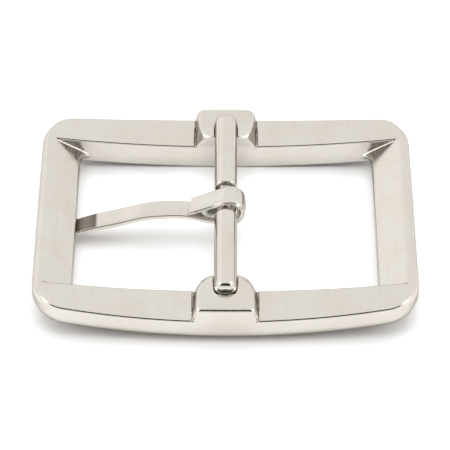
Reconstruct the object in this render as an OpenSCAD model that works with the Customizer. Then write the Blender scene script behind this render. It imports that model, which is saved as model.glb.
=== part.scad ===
// Centre-bar belt buckle, lying on its domed front, in mm.
// +X runs along the belt, +Y across it, +Z towards the back that faces the wearer.
// The origin is under the middle of the buckle, on the plane its front rests on.

/* [Frame] */
// Overall length along the belt
frame_l = 73.5; // [60:0.5:90]
// Width of the long members, at the middle
side_w = 8.25; // [5:0.05:11]
// Width of the end members
end_w = 7.5; // [5:0.05:12]
// Strap width that passes between the long members
strap_w = 40; // [28:0.5:46]
// Thickness of the long members, back flat to front
frame_t = 5.8; // [4.5:0.1:9]
// Radius of the bow along the belt
bow_r = 250; // [150:5:600]
// Radius of the bulge of the long sides, seen from above
bulge_r = 300; // [200:5:900]
// Fall of the back flats from the inner to the outer edge
flat_fall = 0.05; // [0:0.05:1.5]
// Corner radius of the outline
outer_corner_r = 6.2; // [3:0.1:9]
// Corner radius of the opening
inner_corner_r = 2.8; // [1:0.1:5]
// Rounding of the front's outer edge
front_round_r = 2.8; // [1:0.1:3.5]
// Rounding of the end members' back rim
rim_round_r = 1.9; // [0.8:0.1:2.5]
// Depth of the ramps at the opening, under the flat level there
ramp_depth = 2.8; // [1:0.1:3.5]
// Thickness of the lip at the foot of each ramp
lip_t = 1.5; // [1:0.1:3]

/* [Lugs] */
// Length of a lug along the belt, at the flats
lug_l = 12.2; // [9:0.1:18]
// Height of a lug over the flats, at the inner wall
lug_h = 3.75; // [2:0.1:6]
// Fall of the lug's top towards the outer wall
lug_fall = 0.8; // [0:0.05:2]
// How far a lug's inner face leans inwards at its top
lug_lean = 0.8; // [0:0.05:1.5]
// Gap on each side of the bar in its cradle
cradle_gap = 0.1; // [0.05:0.05:1]
// Depth of the cut between a lug and the flats
notch_d = 0.35; // [0.1:0.05:0.8]

/* [Bar] */
// Diameter of the bar
bar_d = 4.4; // [3:0.1:6]
// Diameter of the neck the prong turns on
neck_d = 2.2; // [1.5:0.1:3.5]
// Play of the prong along the neck, on each side
neck_play = 1.35; // [0.2:0.05:3]
// Height of the bar's axis over the flats
bar_z = 3.66; // [2.5:0.02:5]
// Rounding of the bar's ends
bar_nose_r = 1.6; // [0.2:0.1:2]
// How far each end of the bar reaches past the inner wall
bar_reach = 4.15; // [2:0.05:6]

/* [Prong] */
// Width of the prong
prong_w = 4.35; // [2.5:0.1:6]
// How much wider the strip is where it is bent into the loop
loop_flare = 0.55; // [0:0.1:1.5]
// Thickness of the prong's strip
prong_t = 1.1; // [0.8:0.05:1.6]
// How much larger the loop's inner radius is than the neck's
loop_play = 1.05; // [0.2:0.05:1.5]
// Clearance between the neck and the side of the loop that it lies against
loop_gap = 0.09; // [0.05:0.01:0.3]

/* [Hidden] */
$fn = 96;
cut = 1;
edge_r = 0.7;
shoulder_r = 0.3;
seat_gap = 0.01;
notch_w = 0.35;
brow_t = 0.3;
tail_gap = 0.04;
tip_gap = 0.08;
flat_z = frame_t;
half_l = frame_l / 2;
half_in = strap_w / 2;
half_w = half_in + side_w;
half_o = half_l - end_w;
bar_axis_z = flat_z + bar_z;
neck_r = neck_d / 2;
neck_l = prong_w + loop_flare + 2 * neck_play;
loop_r = neck_r + loop_play;
bar_end = half_in + bar_reach;
cradle_w = bar_d + 2 * cradle_gap;
cradle_end = bar_end + cradle_gap;

// Rise of the bowed back flats and of the bowed front at a distance x from the middle.
function back_z(x) = flat_z + bow_r - sqrt(bow_r * bow_r - x * x);
function front_z(x) = flat_z + bow_r - sqrt(pow(bow_r + frame_t, 2) - x * x);
// Half width of the outline at a distance x from the middle.
function side_y(x) = half_w - bulge_r + sqrt(bulge_r * bulge_r - x * x);

// The long sides curve along a tilted arc, which gives the bow and the bulge together.
arc_r = 1 / sqrt(1 / (bow_r * bow_r) + 1 / (bulge_r * bulge_r));
arc_tilt = atan2(bulge_r, bow_r);
arc_half = asin((half_l + 3) / arc_r);
tall = flat_z + 12;
corner_x = half_l - outer_corner_r;
corner_y = side_y(corner_x) + 0.05;

// Ends of the ramps, and the rim past them.
ramp_top_x = half_l - 2;
ramp_foot_z = back_z(half_o) - ramp_depth;
lip_z = ramp_foot_z - lip_t;
crown_x = half_l - front_round_r - 0.4;

// The loop's centre sits down and to the right of the bar's axis, with the neck against its inside.
loop_off = loop_r - neck_r - loop_gap;
loop_x = loop_off * cos(-42.5);
loop_z = bar_axis_z + loop_off * sin(-42.5);
loop_out = loop_r + prong_t;
tail_t = 0.8 * prong_t;
tail_reach = 7.75;

// The shank's back surface: level under the loop, a hump under the tail, then a dip through the
// opening to lie along the front of the left lip.
shank_z = loop_z - loop_r;
hump = [loop_x - 10.2, shank_z + 1.5];
lip_end = [-half_o, lip_z - tip_gap];
dip = [[0.16, 0.966], [0.3, 0.897], [0.435, 0.748], [0.565, 0.572], [0.725, 0.382], [0.83, 0.262],
       [0.93, 0.11]];
shank = concat(
    [[loop_x + 2, shank_z], [loop_x, shank_z], [loop_x - 3.1, shank_z + 0.1],
     [loop_x - 5.7, shank_z + 0.72], [loop_x - tail_reach, shank_z + 1.22], hump],
    [for (d = dip) [hump[0] + d[0] * (lip_end[0] - hump[0]), lip_end[1] + d[1] * (hump[1] - lip_end[1])]],
    [lip_end, [-crown_x, front_z(crown_x) - tip_gap], [-crown_x - 1.2, front_z(crown_x) - tip_gap - 0.4]]);
tip_x = -crown_x;
// The tail's end, which lies on the shank, and the direction in which it leaves the loop.
tail_end = shank[4] + [0, tail_gap + tail_t];
tail_run = norm(tail_end - [loop_x, loop_z]);
tail_a = 90 + atan2(loop_z - tail_end[1], loop_x - tail_end[0]) + asin(loop_out / tail_run);

// A smooth curve through a list of points, and its copy shifted sideways by t.
function bend(a, b, c, d, u) =
    0.5 * (2 * b + (c - a) * u + (2 * a - 5 * b + 4 * c - d) * u * u + (3 * b - a - 3 * c + d) * u * u * u);
function smooth(p, n) =
    [for (i = [1 : len(p) - 3], k = [0 : n - 1]) bend(p[i - 1], p[i], p[i + 1], p[i + 2], k / n)];
function away(v, t) = [-v[1], v[0]] * t / norm(v);
function shifted(p, t) =
    [for (i = [0 : len(p) - 1]) p[i] + away(p[min(i + 1, len(p) - 1)] - p[max(i - 1, 0)], t)];

module corner(r) {
    difference() {
        square([r + cut, tall]);
        circle(r = r);
    }
}

module rounded_plan(l, w, r) {
    square([l, w - 2 * r], center = true);
    square([l - 2 * r, w], center = true);
    for (x = [-1, 1], y = [-1, 1])
        translate([x * (l / 2 - r), y * (w / 2 - r)]) circle(r = r);
}

module both_x() {
    children();
    mirror([1, 0, 0]) children();
}

module both_y() {
    children();
    mirror([0, 1, 0]) children();
}

// A profile drawn along the belt and upwards, drawn out across the belt.
module across(w) {
    rotate([90, 0, 0]) linear_extrude(height = w, center = true) children();
}

module long_section() {
    difference() {
        polygon([[half_in - 3, 0], [half_w, 0], [half_w, flat_z - flat_fall],
                 [half_in, flat_z], [half_in - 3, flat_z]]);
        translate([half_w - front_round_r, front_round_r]) mirror([0, 1]) corner(front_round_r);
        translate([half_w - edge_r, flat_z - flat_fall - edge_r]) corner(edge_r);
    }
}

module long_member() {
    intersection() {
        translate([0, half_w - cos(arc_tilt) * arc_r, flat_z + sin(arc_tilt) * arc_r])
            rotate([-arc_tilt, 0, 0]) rotate([0, 0, 90 - arc_half])
                rotate_extrude(angle = 2 * arc_half)
                    translate([arc_r, 0]) rotate(arc_tilt) translate([-half_w, -flat_z]) long_section();
        translate([-half_l - cut, half_in, -cut]) cube([frame_l + 2 * cut, half_w, tall]);
    }
}

module bowed_plate() {
    across(strap_w) translate([0, flat_z + bow_r]) difference() {
        circle(r = bow_r + frame_t);
        circle(r = bow_r);
    }
}

module opening() {
    translate([0, 0, -cut]) linear_extrude(height = tall)
        rounded_plan(2 * half_o, strap_w, inner_corner_r);
}

// Room over a ramp, out to the step walls in line with the opening's long walls.
module ramp_room() {
    across(strap_w + 2 * cut)
        polygon([[half_o - 5, ramp_foot_z], [half_o, ramp_foot_z], [ramp_top_x, back_z(ramp_top_x)],
                 [ramp_top_x, tall], [half_o - 5, tall]]);
}

// Room in front of a lip, for the prong's tip.
module lip_room() {
    across(strap_w + 2 * cut)
        polygon([[half_o - 5, -cut], [crown_x, -cut], [crown_x, front_z(crown_x)],
                 [half_o, lip_z], [half_o - 5, lip_z]]);
}

// Seen along Y: the rounded back rims and the rounded fronts of the end members.
module rim_profile() {
    difference() {
        translate([-half_l, -cut]) square([frame_l, tall + cut]);
        for (s = [0, 1]) mirror([s, 0]) {
            translate([half_l - rim_round_r, back_z(half_l - rim_round_r) - rim_round_r])
                corner(rim_round_r);
            translate([half_l - front_round_r, front_z(half_l - front_round_r) + front_round_r])
                mirror([0, 1]) corner(front_round_r);
        }
    }
}

module outline() {
    rounded_plan(frame_l, 2 * corner_y, outer_corner_r);
    square([2 * corner_x, 2 * (half_w + cut)], center = true);
}

module lug_slice(y, foot, waist, waist_h, top, top_h) {
    translate([0, y, flat_z]) rotate([90, 0, 0]) linear_extrude(height = 0.02)
        polygon([[-foot, -2.5], [foot, -2.5], [waist, waist_h], [top, top_h],
                 [-top, top_h], [-waist, waist_h]]);
}

module lug() {
    foot = lug_l / 2;
    brow = 0.46 * foot;
    hull() {
        translate([-brow, half_in - lug_lean, flat_z + lug_h - brow_t]) cube([2 * brow, 0.02, brow_t]);
        lug_slice(half_in + 0.03, foot, 0.9 * foot, 1.05, 0.53 * foot, lug_h);
        lug_slice(half_in + 0.4 * side_w, foot, 0.93 * foot, 1.2, 0.83 * foot, lug_h - 0.4 * lug_fall);
        lug_slice(half_w - 0.1, 1.06 * foot, 0.99 * foot, 0.7, 0.76 * foot, lug_h - lug_fall);
    }
}

// The cut beside a lug, made before the lug is joined on.
module lug_notch() {
    translate([lug_l / 2 - notch_w, half_in - cut, flat_z - flat_fall - notch_d])
        cube([2 * notch_w, side_w + 2 * cut, 3]);
}

module cradle() {
    translate([0, half_in - 2 * cut, bar_axis_z - bar_d / 2 + cradle_w / 2 + seat_gap]) {
        rotate([-90, 0, 0]) cylinder(d = cradle_w, h = cradle_end - half_in + 2 * cut);
        translate([-cradle_w / 2, 0, 0]) cube([cradle_w, cradle_end - half_in + 2 * cut, 6]);
    }
}

module frame() {
    color("silver") difference() {
        union() {
            intersection() {
                union() {
                    difference() {
                        both_y() long_member();
                        both_y() both_x() lug_notch();
                    }
                    difference() {
                        bowed_plate();
                        opening();
                        both_x() ramp_room();
                        both_x() lip_room();
                    }
                }
                across(2 * (half_w + cut)) rim_profile();
                translate([0, 0, -cut]) linear_extrude(height = tall + cut) outline();
            }
            both_y() lug();
        }
        both_y() cradle();
    }
}

module centre_bar() {
    color("gainsboro") translate([0, 0, bar_axis_z]) rotate([90, 0, 0]) union() {
        cylinder(r = neck_r, h = neck_l + cut, center = true);
        for (s = [0, 1]) mirror([0, 0, s]) rotate_extrude() difference() {
            translate([0, neck_l / 2]) square([bar_d / 2, bar_end - neck_l / 2]);
            translate([bar_d / 2 - bar_nose_r, bar_end - bar_nose_r]) corner(bar_nose_r);
            translate([bar_d / 2 - shoulder_r, neck_l / 2 + shoulder_r]) mirror([0, 1]) corner(shoulder_r);
        }
    }
}

module prong_side() {
    back = smooth(shank, 6);
    front = shifted(back, prong_t);
    from = [loop_x, loop_z];
    tail_in = from + loop_r * [cos(tail_a), sin(tail_a)];
    tail_out = from + loop_out * [cos(tail_a), sin(tail_a)];
    difference() {
        translate(from) circle(r = loop_out);
        translate(from) circle(r = loop_r);
        translate(from)
            polygon(9 * [[0, 0], [cos(tail_a + 2), sin(tail_a + 2)], [-1.6, 0.5], [-1.6, -1], [-0.04, -1]]);
    }
    polygon(concat(back, [for (i = [len(front) - 1 : -1 : 0]) front[i]]));
    polygon([tail_in, tail_out, tail_end, tail_end - [0.1, 0.6 * tail_t], tail_end - [0, tail_t],
             tail_end - [-0.4, tail_t]]);
}

module prong_plan() {
    tip_r = 0.46 * prong_w;
    wide = (prong_w + loop_flare) / 2;
    polygon([[9, -wide], [9, wide], [0.2, wide], [-2.6, prong_w / 2], [-12, prong_w / 2],
             [tip_x + tip_r, tip_r], [tip_x + tip_r, -tip_r], [-12, -prong_w / 2], [-2.6, -prong_w / 2],
             [0.2, -wide]]);
    translate([tip_x + tip_r, 0]) circle(r = tip_r);
}

module prong() {
    color("lightgray") intersection() {
        across(prong_w + cut) prong_side();
        translate([0, 0, -cut]) linear_extrude(height = 2 * tall) prong_plan();
    }
}

frame();
centre_bar();
prong();
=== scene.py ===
import math
import bpy
import numpy as np
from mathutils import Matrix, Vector


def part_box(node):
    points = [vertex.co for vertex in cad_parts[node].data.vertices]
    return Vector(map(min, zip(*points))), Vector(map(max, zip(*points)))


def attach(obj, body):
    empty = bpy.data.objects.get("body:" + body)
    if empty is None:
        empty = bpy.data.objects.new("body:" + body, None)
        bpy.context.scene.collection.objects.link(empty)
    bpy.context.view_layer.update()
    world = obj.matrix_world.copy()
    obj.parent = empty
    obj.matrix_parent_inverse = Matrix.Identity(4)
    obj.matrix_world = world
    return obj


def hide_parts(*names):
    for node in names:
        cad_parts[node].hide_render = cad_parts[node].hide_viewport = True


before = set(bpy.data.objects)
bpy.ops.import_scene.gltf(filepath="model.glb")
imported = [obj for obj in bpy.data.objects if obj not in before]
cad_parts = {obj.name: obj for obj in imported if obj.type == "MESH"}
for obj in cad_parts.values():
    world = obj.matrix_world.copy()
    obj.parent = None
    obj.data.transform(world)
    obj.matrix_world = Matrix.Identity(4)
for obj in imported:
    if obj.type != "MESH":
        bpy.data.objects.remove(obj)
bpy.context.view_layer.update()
mm = 0.001

print("camera and room")

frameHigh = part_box("frame")[1]
barLow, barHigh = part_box("centre_bar")
halfLength = frameHigh[0] / mm
halfWidth = frameHigh[1] / mm
barAxisHeight = (barLow[2] + barHigh[2]) / 2 / mm  # all the shaping below is in mm

buckle = {
    "thickness": 5.8,  # of the long members, back flat to front
    "strapWidth": 40.0,
    "endWidth": 7.5,  # of the members across the belt
    "bowRadius": 250.0,
    "bulgeRadius": 300.0,
    "flatFall": 0.05,  # from the inner to the outer edge of the back flats
    "outerCorner": 6.2,
    "innerCorner": 2.8,
    "frontRound": 2.8,
    "rimRound": 1.9,
    "edgeRound": 0.7,
    "insideRound": 0.55,  # of the edge between the back flats and the inner walls
    "rampDepth": 2.8,
    "lipThickness": 1.5,
    "rampHollow": 0.22,  # between a ramp and its step walls
    "lipHollow": 1.2,  # between a lip and the walls in front of it
    "openingRound": 0.3,  # of the opening's ends
    "voxel": 0.22,
}
halfStrap = buckle["strapWidth"] / 2
flatHeight = buckle["thickness"]
openingEnd = halfLength - buckle["endWidth"]

cameraShot = {
    "elevation": 44.7,
    "distance": 502.0,
    "lens": 206.0,
    "aim": (-0.12, -2.42, flatHeight),
    "roll": 0.2,
}


def placeCamera(shot):
    lens = bpy.data.cameras.new("camera")
    lens.lens = shot["lens"]
    lens.sensor_width = 36.0
    lens.clip_start = 0.01
    camera = bpy.data.objects.new("camera", lens)
    bpy.context.scene.collection.objects.link(camera)
    lift = math.radians(shot["elevation"])
    aim = Vector(shot["aim"]) * mm
    back = Vector((0, -math.cos(lift), math.sin(lift)))
    camera.location = aim + back * shot["distance"] * mm
    camera.rotation_euler = back.to_track_quat("Z", "Y").to_euler()
    camera.rotation_euler.rotate_axis("Z", math.radians(shot["roll"]))
    bpy.context.scene.camera = camera


placeCamera(cameraShot)


def softMaterial(name, colour, roughness):
    material = bpy.data.materials.new(name)
    material.use_nodes = True
    shader = material.node_tree.nodes["Principled BSDF"]
    shader.inputs["Base Color"].default_value = (*colour, 1)
    shader.inputs["Roughness"].default_value = roughness
    return material


def stageCard(name, size, place, turn, material):
    bpy.ops.mesh.primitive_plane_add(size=1, location=place, rotation=turn)
    card = bpy.context.object
    card.name = name
    card.scale = (size[0], size[1], 1)
    card.data.materials.append(material)
    return card


def areaLight(name, place, aim, size, power, colour=(1, 1, 1)):
    light = bpy.data.lights.new(name, "AREA")
    light.shape = "RECTANGLE"
    light.size, light.size_y = size
    light.energy = power
    light.color = colour
    lamp = bpy.data.objects.new(name, light)
    lamp.location = place
    lamp.rotation_euler = (Vector(place) - Vector(aim)).to_track_quat("Z", "Y").to_euler()
    bpy.context.scene.collection.objects.link(lamp)
    return lamp


tableTop = softMaterial("tableTop", (0.91, 0.91, 0.915), 0.6)
stageCard("floor", (3.0, 3.0), (0, 0, 0), (0, 0, 0), tableTop)

room = {
    "glow": (1.0, 0.99, 0.975),
    "strength": 1.1,
    "softboxes": (  # name, place, size, power
        ("overhead", (0.0, 0.15, 1.0), (0.9, 0.9), 6.2),
        ("leftBox", (-0.75, -0.12, 0.48), (0.3, 0.3), 1.2),
        ("rightBox", (0.75, -0.12, 0.48), (0.3, 0.3), 1.2),
        ("backLeftBox", (-0.65, 0.8, 0.38), (0.7, 0.6), 0.16),
    ),
    "screenSize": (1.15, 0.42),  # the dark gap in the tent that the camera looks through
    "screenPlace": 0.64,
    "screenRise": 40.0,
}
bpy.context.scene.view_settings.view_transform = "Standard"  # keeps the table white
world = bpy.context.scene.world or bpy.data.worlds.new("room")
bpy.context.scene.world = world
world.use_nodes = True
world.node_tree.nodes["Background"].inputs["Color"].default_value = (*room["glow"], 1)
world.node_tree.nodes["Background"].inputs["Strength"].default_value = room["strength"]
for lampName, place, size, power in room["softboxes"]:
    areaLight(lampName, place, (0, 0, 0), size, power)
bpy.data.objects["overhead"].visible_glossy = False  # lights the table without a stripe on the metal
screenBlack = softMaterial("screenBlack", (0.01, 0.01, 0.01), 0.9)
lift = math.radians(room["screenRise"])
screen = stageCard("screen", room["screenSize"],
                   (0, -room["screenPlace"] * math.cos(lift), room["screenPlace"] * math.sin(lift)),
                   (math.pi / 2 - lift, 0, 0), screenBlack)
screen.visible_camera = False

print("plated metal")


plate = {
    "colour": (0.675, 0.645, 0.6),
    "stain": (0.625, 0.585, 0.53),  # slightly warmer and darker clouds in the plating
    "edgeTint": (0.5, 0.48, 0.46),  # nickel dims towards its edges
    "pitColour": (0.34, 0.31, 0.27),
    # painted shade: the dark colour laid on the prong's back under the lip, standing in for the lip's
    # shadowed underside seen in reflection
    "paintedShadeColour": (0.15, 0.13, 0.105),
}
finishes = {  # roughness of the smoothest and dullest places, and depths in mm of grain, brushing and waves
    "castPlate": {"rough": (0.13, 0.27), "grain": 0.0012, "brush": 0.0022, "wave": 0.012, "pits": 1.0},
    "barPlate": {"rough": (0.10, 0.20), "grain": 0.0008, "brush": 0.0015, "wave": 0.006, "pits": 0.6},
    # the prong's span of painted shade under the lip lies between these two X values, in mm
    "prongPlate": {"rough": (0.10, 0.22), "grain": 0.0008, "brush": 0.0016, "wave": 0.008, "pits": 0.6,
                   "paintedShadeSpan": (-29.6, -25.3)},
}


def addNode(tree, kind, **values):
    node = tree.nodes.new("ShaderNode" + kind)
    for name, value in values.items():
        if hasattr(node, name):
            setattr(node, name, value)
        else:
            node.inputs[name.replace("_", " ")].default_value = value
    return node


def noiseAt(tree, place, scale, detail, stretch=None):  # scale is in features to the mm
    noise = addNode(tree, "TexNoise", Scale=scale / mm, Detail=detail, Roughness=0.6)
    source = place.outputs["Object"]
    if stretch:
        mapping = addNode(tree, "Mapping", Scale=stretch)
        tree.links.new(source, mapping.inputs["Vector"])
        source = mapping.outputs["Vector"]
    tree.links.new(source, noise.inputs["Vector"])
    return noise.outputs["Fac"]


def spread(tree, source, fromLow, fromHigh, toLow, toHigh):
    remap = addNode(tree, "MapRange")
    limits = {"From Min": fromLow, "From Max": fromHigh, "To Min": toLow, "To Max": toHigh}
    for socket, value in limits.items():
        remap.inputs[socket].default_value = value
    tree.links.new(source, remap.inputs["Value"])
    return remap.outputs["Result"]


def mixColours(tree, share, first, second):
    mix = addNode(tree, "Mix", data_type="RGBA")
    mix.inputs[6].default_value = (*first, 1) if isinstance(first, tuple) else (1, 1, 1, 1)
    if not isinstance(first, tuple):
        tree.links.new(first, mix.inputs[6])
    mix.inputs[7].default_value = (*second, 1)
    tree.links.new(share, mix.inputs[0])
    return mix.outputs[2]


def bumpOn(tree, height, depth, below=None):  # depth in mm
    bump = addNode(tree, "Bump", Distance=depth * mm, Strength=1.0)
    tree.links.new(height, bump.inputs["Height"])
    if below:
        tree.links.new(below, bump.inputs["Normal"])
    return bump.outputs["Normal"]


def paintedLipShade(tree, place, low, high):  # painted shade: a dark stretch on the prong's back face under the lip, standing in for the lip's shadowed underside reflected there; along X and in mm
    split = addNode(tree, "SeparateXYZ")
    tree.links.new(place.outputs["Object"], split.inputs["Vector"])
    starts = spread(tree, split.outputs["X"], (high + 0.25) * mm, (high - 0.25) * mm, 0.0, 1.0)
    ends = spread(tree, split.outputs["X"], (low - 1.0) * mm, low * mm, 0.0, 1.0)
    facing = addNode(tree, "SeparateXYZ")
    tree.links.new(place.outputs["Normal"], facing.inputs["Vector"])
    share = spread(tree, facing.outputs["Z"], 0.75, 0.95, 0.0, 1.0)  # on the back face only
    for factor in (starts, ends):
        both = addNode(tree, "Math", operation="MULTIPLY")
        tree.links.new(share, both.inputs[0])
        tree.links.new(factor, both.inputs[1])
        share = both.outputs[0]
    return share


def plateMaterial(name):
    finish = finishes[name]
    material = softMaterial(name, plate["colour"], finish["rough"][0])
    tree = material.node_tree
    shader = tree.nodes["Principled BSDF"]
    shader.inputs["Metallic"].default_value = 1.0
    shader.inputs["Specular Tint"].default_value = (*plate["edgeTint"], 1)
    place = addNode(tree, "TexCoord")
    clouds = noiseAt(tree, place, 0.12, 3.0)
    streaks = noiseAt(tree, place, 2.2, 3.0, (1, 0.05, 1))  # brushing runs across the belt
    grain = noiseAt(tree, place, 7.0, 2.0)
    waves = noiseAt(tree, place, 0.22, 1.0)
    specks = addNode(tree, "TexVoronoi", Scale=0.45 / mm, Randomness=1.0)
    tree.links.new(place.outputs["Object"], specks.inputs["Vector"])
    pits = spread(tree, specks.outputs["Distance"], 0.045, 0.07, finish["pits"] * 0.6, 0.0)
    tint = mixColours(tree, spread(tree, clouds, 0.42, 0.66, 0.0, 0.6), plate["colour"], plate["stain"])
    tint = mixColours(tree, spread(tree, streaks, 0.56, 0.75, 0.0, 0.35), tint, plate["stain"])
    tint = mixColours(tree, pits, tint, plate["pitColour"])
    # painted shade on the prong's back where it passes under the lip
    if "paintedShadeSpan" in finish:
        tint = mixColours(tree, paintedLipShade(tree, place, *finish["paintedShadeSpan"]), tint, plate["paintedShadeColour"])
    tree.links.new(tint, shader.inputs["Base Color"])
    low, high = finish["rough"]
    tree.links.new(spread(tree, streaks, 0.35, 0.7, low, high), shader.inputs["Roughness"])
    normal = bumpOn(tree, waves, finish["wave"])
    normal = bumpOn(tree, streaks, finish["brush"], normal)
    normal = bumpOn(tree, grain, finish["grain"], normal)
    tree.links.new(normal, shader.inputs["Normal"])
    return material


castPlate = plateMaterial("castPlate")
barPlate = plateMaterial("barPlate")
prongPlate = plateMaterial("prongPlate")

print("rounding tools")


def roundBoth(a, b, r):  # keeps what lies inside both shapes, with a rounded edge
    outer = np.hypot(np.maximum(a + r, 0), np.maximum(b + r, 0))
    return np.minimum(np.maximum(a, b), -r) + outer


def roundEither(a, b, r):  # joins two shapes with a rounded hollow
    return -roundBoth(-a, -b, r)


def roundedPlan(x, y, halfX, halfY, r):  # distance to a rounded rectangle, seen from above
    qx, qy = x - halfX + r, y - halfY + r
    return np.hypot(np.maximum(qx, 0), np.maximum(qy, 0)) + np.minimum(np.maximum(qx, qy), 0) - r


def easeIn(low, high, value):
    t = np.clip((value - low) / (high - low), 0, 1)
    return t * t * (3 - 2 * t)


def bowBack(x):
    return flatHeight + buckle["bowRadius"] - np.sqrt(buckle["bowRadius"] ** 2 - x * x)


def bowFront(x):
    outer = buckle["bowRadius"] + buckle["thickness"]
    return flatHeight + buckle["bowRadius"] - np.sqrt(outer ** 2 - x * x)


def sideEdge(x):
    return halfWidth - buckle["bulgeRadius"] + np.sqrt(buckle["bulgeRadius"] ** 2 - x * x)


print("frame")

lug = {
    "halfFoot": 6.1,
    "height": 3.75,  # over the flats, at the inner wall
    "fall": 0.097,  # slope of its top, down to the outer wall
    "sideLean": 0.2,
    "outerLean": 0.24,  # of its sides, at the outer wall
    "outerFoot": 0.3,  # extra half length of its foot there
    "hinge": 0.2,  # depth under the flats at which the sides start to lean
    "innerLean": 0.21,  # of its inner face, over the opening
    "facet": (0.6258, 0.5326, -0.571, -7.22),  # the slanting faces beside the cradle
    "facetRound": 1.3,
    "sideRound": 0.6,
    "outerRound": 1.3,  # of its corners at the outer wall
    "topRound": 0.9,  # of its top, at the outer wall
    "notchDepth": 0.35,  # of the cut between lug and flats
    "notchWidth": 0.2,
    "notchRound": 0.06,
    "root": 1.5,  # how deep the lug reaches into the member
    "cradleRadius": 2.23,
    "mouthFlare": 0.14,  # extra radius of the cradle at the inner wall
    "cradleEnd": 24.2,
    "cradleEndRound": 1.6,
    "mouthLength": 3.2,
    "innerRound": 0.25,  # of the edge over the opening
    "rimRound": 0.16,  # of the cradle's rim
}
barRadius = (barHigh[2] - barLow[2]) / 2 / mm
rampTop = halfLength - 2.0
rampFoot = float(bowBack(openingEnd)) - buckle["rampDepth"]
rampSlope = (float(bowBack(rampTop)) - rampFoot) / (rampTop - openingEnd)
lipFront = rampFoot - buckle["lipThickness"]
crownPlace = halfLength - buckle["frontRound"] - 0.4
lipSlope = (lipFront - float(bowFront(crownPlace))) / (crownPlace - openingEnd)


def frameShape(p):
    x, y, z = np.abs(p[:, 0]), np.abs(p[:, 1]), p[:, 2]
    cornerX = halfLength - buckle["outerCorner"]
    wallEdge = np.minimum(sideEdge(np.minimum(x, halfLength)), 99)
    side = y - wallEdge
    qx, qy = x - cornerX, side + buckle["outerCorner"]
    outline = (np.hypot(np.maximum(qx, 0), np.maximum(qy, 0)) + np.minimum(np.maximum(qx, qy), 0)
               - buckle["outerCorner"])
    back = z - bowBack(x) + buckle["flatFall"] * np.maximum(y - halfStrap, 0) / (halfWidth - halfStrap)
    front = bowFront(x) - z
    turned = np.maximum(qx, 0) / np.maximum(np.hypot(np.maximum(qx, 0), np.maximum(qy, 0)), 0.01)
    around = easeIn(0.35, 1.0, turned)
    rim = buckle["edgeRound"] + (buckle["rimRound"] - buckle["edgeRound"]) * around
    solid = roundBoth(outline, back, rim)
    solid = roundBoth(solid, front, buckle["frontRound"])
    ramp = (z - rampFoot - rampSlope * (x - openingEnd)) / math.hypot(1, rampSlope)
    lip = (lipFront - lipSlope * (x - openingEnd) - z) / math.hypot(1, lipSlope)
    rampRoom = roundEither(halfStrap - y, ramp, buckle["rampHollow"])
    lipRoom = roundEither(halfStrap - y, lip, buckle["lipHollow"])
    rooms = np.maximum(rampRoom, lipRoom)
    solid = roundBoth(solid, rooms, buckle["insideRound"])
    hole = roundedPlan(x, y, openingEnd, halfStrap, buckle["innerCorner"])
    endRound = buckle["openingRound"] * easeIn(openingEnd - 2.6, openingEnd - 0.8, x) + 1e-6
    solid = roundBoth(solid, -hole, endRound)
    h = z - flatHeight
    lugTop = h - lug["height"] + lug["fall"] * (y - halfStrap)
    outwards = easeIn(halfStrap + 2.5, halfWidth, y)
    lean = lug["sideLean"] + (lug["outerLean"] - lug["sideLean"]) * outwards
    reachOut = lug["halfFoot"] + lug["outerFoot"] * outwards
    lugSide = (x - reachOut + lean * (h + lug["hinge"])) / np.hypot(1, lean)
    fx, fz, fy, reach = lug["facet"]
    body = roundBoth(lugTop, side, lug["topRound"])
    sideRound = lug["sideRound"] + (lug["outerRound"] - lug["sideRound"]) * outwards
    body = roundBoth(body, lugSide, sideRound)
    body = roundBoth(body, fx * x + fz * h + fy * y - reach, lug["facetRound"])
    body = roundBoth(body, halfStrap - lug["innerLean"] * np.maximum(h, 0) - y, lug["innerRound"])
    body = np.maximum(body, -lug["root"] - h)
    slot = np.maximum(np.abs(x - lug["halfFoot"]) - lug["notchWidth"], -(back + lug["notchDepth"]))
    solid = np.minimum(roundBoth(solid, -slot, lug["notchRound"]), body)
    mouth = 1 - easeIn(halfStrap, halfStrap + lug["mouthLength"], y)
    reachIn = lug["cradleRadius"] + lug["mouthFlare"] * mouth
    centre = barAxisHeight - barRadius + reachIn
    tub = np.where(z > centre, x, np.hypot(x, z - centre)) - reachIn
    tub = roundBoth(tub, y - lug["cradleEnd"], lug["cradleEndRound"])
    return roundBoth(solid, -tub, lug["rimRound"])


def shapeGradient(shape, p, step=0.004):
    grad = np.empty_like(p)
    for axis in range(3):
        shift = np.zeros(3)
        shift[axis] = step
        grad[:, axis] = (shape(p + shift) - shape(p - shift)) / (2 * step)
    return grad


def settleOn(shape, p, rounds=6):  # slides points along the slope until they lie on the surface
    for turn in range(rounds):
        grad = shapeGradient(shape, p)
        length = np.maximum((grad ** 2).sum(1), 0.05)
        move = np.clip(shape(p) / length, -0.3, 0.3)
        p = p - grad * move[:, None]
    return p


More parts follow.
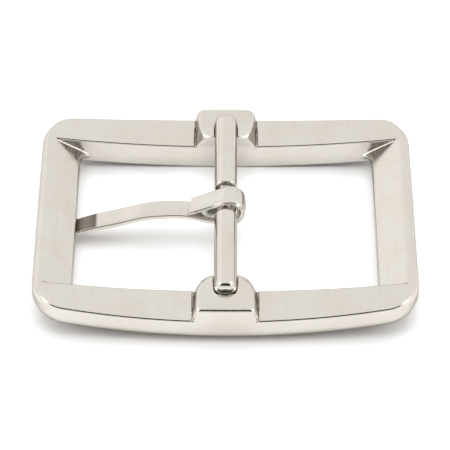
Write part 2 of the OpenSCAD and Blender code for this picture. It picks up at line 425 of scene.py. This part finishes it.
def carve(name, shape, source, voxel):
    start = source.data.copy()
    rough = bpy.data.objects.new(name, start)
    bpy.context.scene.collection.objects.link(rough)
    rough.data.materials.clear()
    remesh = rough.modifiers.new("remesh", "REMESH")
    remesh.mode = "VOXEL"
    remesh.voxel_size = voxel * mm
    remesh.adaptivity = 0
    graph = bpy.context.evaluated_depsgraph_get()
    fine = bpy.data.meshes.new_from_object(rough.evaluated_get(graph))
    rough.modifiers.clear()
    rough.data = fine
    points = np.empty(len(fine.vertices) * 3)
    fine.vertices.foreach_get("co", points)
    points = settleOn(shape, points.reshape(-1, 3) / mm)
    fine.vertices.foreach_set("co", (points * mm).ravel())
    fine.update()
    normals = shapeGradient(shape, points)
    normals /= np.linalg.norm(normals, axis=1)[:, None]
    fine.polygons.foreach_set("use_smooth", [True] * len(fine.polygons))
    fine.normals_split_custom_set_from_vertices(normals.tolist())
    print(name, len(fine.polygons), "faces; off the surface by at most",
          round(float(np.abs(shape(points)).max()), 4), "mm")
    return rough


frameBody = carve("frameCast", frameShape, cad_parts["frame"], buckle["voxel"])
frameBody.data.materials.append(castPlate)
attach(frameBody, "frame")
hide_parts("frame")

print("centre bar")

bar = {
    "neckLength": 7.6,
    "neckRadius": 1.1,
    "noseRound": 1.6,
    "shoulderRound": 0.3,
    "neckRound": 0.25,  # in the corner between neck and shoulder
    "steps": 160,
}


def arcPoints(cx, cy, r, start, end, count):
    return [(cx + r * math.cos(math.radians(a)), cy + r * math.sin(math.radians(a)))
            for a in np.linspace(start, end, count)]


def barProfile():  # radius and place along the bar, for its upper half
    end = barHigh[1] / mm
    shoulder, fillet = bar["shoulderRound"], bar["neckRound"]
    base = bar["neckLength"] / 2
    half = [(bar["neckRadius"], y) for y in np.linspace(0, base - fillet, 5)]
    half += arcPoints(bar["neckRadius"] + fillet, base - fillet, fillet, 180, 90, 5)[1:]
    half += arcPoints(barRadius - shoulder, base + shoulder, shoulder, -90, 0, 7)
    half += [(barRadius, y) for y in np.linspace(base + shoulder, end - bar["noseRound"], 40)][1:]
    half += arcPoints(barRadius - bar["noseRound"], end - bar["noseRound"], bar["noseRound"], 0, 90, 16)[1:]
    half += [(r, end) for r in np.linspace(barRadius - bar["noseRound"], 0, 5)[1:]]
    return half


def latheBar(name):
    half = barProfile()
    line = [(r, -y) for r, y in reversed(half)] + half[1:]
    rings, steps = len(line) - 2, bar["steps"]
    verts = [(0, line[0][1], barAxisHeight)]
    for r, y in line[1:-1]:
        verts += [(r * math.sin(a), y, barAxisHeight + r * math.cos(a))
                  for a in (2 * math.pi * k / steps for k in range(steps))]
    verts.append((0, line[-1][1], barAxisHeight))
    faces = [(0, 1 + (k + 1) % steps, 1 + k) for k in range(steps)]
    for ring in range(rings - 1):
        low, high = 1 + ring * steps, 1 + (ring + 1) * steps
        faces += [(low + k, low + (k + 1) % steps, high + (k + 1) % steps, high + k) for k in range(steps)]
    last, tip = 1 + (rings - 1) * steps, len(verts) - 1
    faces += [(last + k, last + (k + 1) % steps, tip) for k in range(steps)]
    return meshPiece(name, verts, faces)


def meshPiece(name, verts, faces):
    mesh = bpy.data.meshes.new(name)
    mesh.from_pydata([tuple(c * mm for c in v) for v in verts], [], faces)
    mesh.polygons.foreach_set("use_smooth", [True] * len(mesh.polygons))
    mesh.update()
    piece = bpy.data.objects.new(name, mesh)
    bpy.context.scene.collection.objects.link(piece)
    return piece


barPiece = latheBar("centreBar")
barPiece.data.materials.append(barPlate)
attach(barPiece, "frame")
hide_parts("centre_bar")

print("prong")

prong = {
    "width": 4.35,
    "loopFlare": 0.55,  # extra width round the loop
    "tailSlant": 0.8,  # how much shorter the tail's far corner is
    "thickness": 1.1,
    "tailThickness": 0.88,
    "loopInside": 2.15,
    "neckGap": 0.09,
    "loopLean": -42.5,  # where the loop's centre hangs from the neck, in degrees
    "edgeRound": 0.38,
    "crown": 0.22,  # fall of the loop's outer face towards its edges
    "tipWidth": 4.0,
    "taperStart": -12.0,
    "tailReach": 7.75,  # of the tail's end, from the loop's centre
    "tipGap": 0.08,
    "tailGap": 0.04,
    "dip": ((0.16, 0.966), (0.3, 0.897), (0.435, 0.748), (0.565, 0.572), (0.725, 0.382), (0.83, 0.262),
            (0.93, 0.11)),  # from the hump to the lip: share of the way along, share of the height left
}


def smoothLine(points, count):
    line = []
    for i in range(1, len(points) - 2):
        a, b, c, d = (np.array(points[k], float) for k in (i - 1, i, i + 1, i + 2))
        for u in np.linspace(0, 1, count, endpoint=False):
            line.append(0.5 * (2 * b + (c - a) * u + (2 * a - 5 * b + 4 * c - d) * u ** 2
                               + (3 * b - a - 3 * c + d) * u ** 3))
    return line


def prongPath():  # middle line of the strip, its thickness and its width, from the tail's end to the tip
    r, t = prong["loopInside"], prong["thickness"]
    off = r - bar["neckRadius"] - prong["neckGap"]
    lean = math.radians(prong["loopLean"])
    loop = np.array((off * math.cos(lean), barAxisHeight + off * math.sin(lean)))
    floor = loop[1] - r
    hump = (loop[0] - 10.2, floor + 1.5)
    lipEnd = (-openingEnd, lipFront - prong["tipGap"])
    crown = (-crownPlace, float(bowFront(crownPlace)) - prong["tipGap"])
    rest = (loop[0] - prong["tailReach"], floor + 1.22)
    back = [(loop[0] + 2, floor), (loop[0], floor), (loop[0] - 3.1, floor + 0.1),
            (loop[0] - 5.7, floor + 0.72), rest, hump]
    back += [(hump[0] + u * (lipEnd[0] - hump[0]), lipEnd[1] + v * (hump[1] - lipEnd[1]))
             for u, v in prong["dip"]]
    back += [lipEnd, crown, (crown[0] - 1.2, crown[1] - 0.4)]
    back = smoothLine(back, 12)
    tailEnd = np.array(rest) + (0, prong["tailGap"] + prong["tailThickness"])
    run = np.linalg.norm(tailEnd - loop)
    leave = math.pi / 2 + math.atan2(loop[1] - tailEnd[1], loop[0] - tailEnd[0]) + math.asin((r + t) / run)
    leaveMiddle = loop + (r + t / 2) * np.array((math.cos(leave), math.sin(leave)))
    endMiddle = tailEnd - (-0.05, prong["tailThickness"] / 2)
    line, thick = [], []
    for u in np.linspace(0, 1, 24, endpoint=False):
        line.append(endMiddle + u * (leaveMiddle - endMiddle))
        thick.append(prong["tailThickness"] + (t - prong["tailThickness"]) * u)
    for a in np.linspace(leave, -math.pi / 2, 60, endpoint=False):
        line.append(loop + (r + t / 2) * np.array((math.cos(a), math.sin(a))))
        thick.append(t)
    slope = np.gradient(np.array(back), axis=0)
    slope /= np.linalg.norm(slope, axis=1)[:, None]
    for point, way in zip(back, slope):
        line.append(point + np.array((-way[1], way[0])) * t / 2)
        thick.append(t)
    line = np.array(line)
    start = prong["taperStart"]
    width = np.full(len(line), prong["width"])
    shank = np.arange(len(line)) > 84
    share = np.clip((start - line[:, 0]) / (start + crownPlace), 0, 1)
    width = np.where(shank, prong["width"] - (prong["width"] - prong["tipWidth"]) * share, width)
    width = width + prong["loopFlare"] * easeIn(-3.0, 0.4, line[:, 0])
    return line, np.array(thick), width


def stripRing(width, thick):  # rounded rectangle, widest along the bar
    r = min(prong["edgeRound"], 0.49 * thick, 0.49 * width)
    ring = []
    for cx, cy, start in ((1, 1, 0), (-1, 1, 90), (-1, -1, 180), (1, -1, 270)):
        ring += arcPoints(cx * (width / 2 - r), cy * (thick / 2 - r), r, start, start + 90, 6)
        if cy == cx:
            flat = np.linspace(0.75, -0.75, 7)  # points along the flat, as a share of its half
            ring += [(cx * (width / 2 - r) * u, cy * thick / 2) for u in flat]
    return ring


def sweepProng(name):
    line, thick, width = prongPath()
    way = np.gradient(line, axis=0)
    way /= np.linalg.norm(way, axis=1)[:, None]
    ends = ((line[0], way[0], thick[0], width[0], -1), (line[-1], way[-1], thick[-1], width[-1], 1))
    rounding = [math.radians(a) for a in (15, 35, 55, 75)]

    def capRows(point, direction, t, w, sign, length):
        return [(point + direction * sign * length * math.sin(a), direction, t * (0.55 + 0.45 * math.cos(a)),
                 w * (1 - (0.5 if sign > 0 else 0.12) * (1 - math.cos(a)))) for a in rounding]

    head = capRows(*ends[0], 0.3)[::-1]
    tail = capRows(*ends[1], 0.9)
    rows = head + [(line[i], way[i], thick[i], width[i]) for i in range(len(line))] + tail
    verts, count = [], 0
    for row, (point, direction, t, w) in enumerate(rows):
        ring = stripRing(w, t)
        count = len(ring)
        normal = np.array((direction[1], -direction[0]))
        slant = prong["tailSlant"] / w * max(0.0, 1 - row / 16)
        crown = prong["crown"] * min(1.0, row / 16) * min(1.0, max(0.0, (88 - row) / 16))
        for a, b in ring:
            b += crown * (2 * a / w) ** 2 * (b < -0.2 * t)
            place = point + normal * b + direction * slant * (a + w / 2)
            verts.append((place[0], a, place[1]))
    faces = []
    for row in range(len(rows) - 1):
        low, high = row * count, (row + 1) * count
        faces += [(low + k, high + k, high + (k + 1) % count, low + (k + 1) % count) for k in range(count)]
    faces.append(tuple(range(count)))
    faces.append(tuple(range(len(verts) - 1, len(verts) - 1 - count, -1)))
    return meshPiece(name, verts, faces)


prongPiece = sweepProng("prongStrip")
prongPiece.data.materials.append(prongPlate)
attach(prongPiece, "prong")
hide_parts("prong")

print("finish")
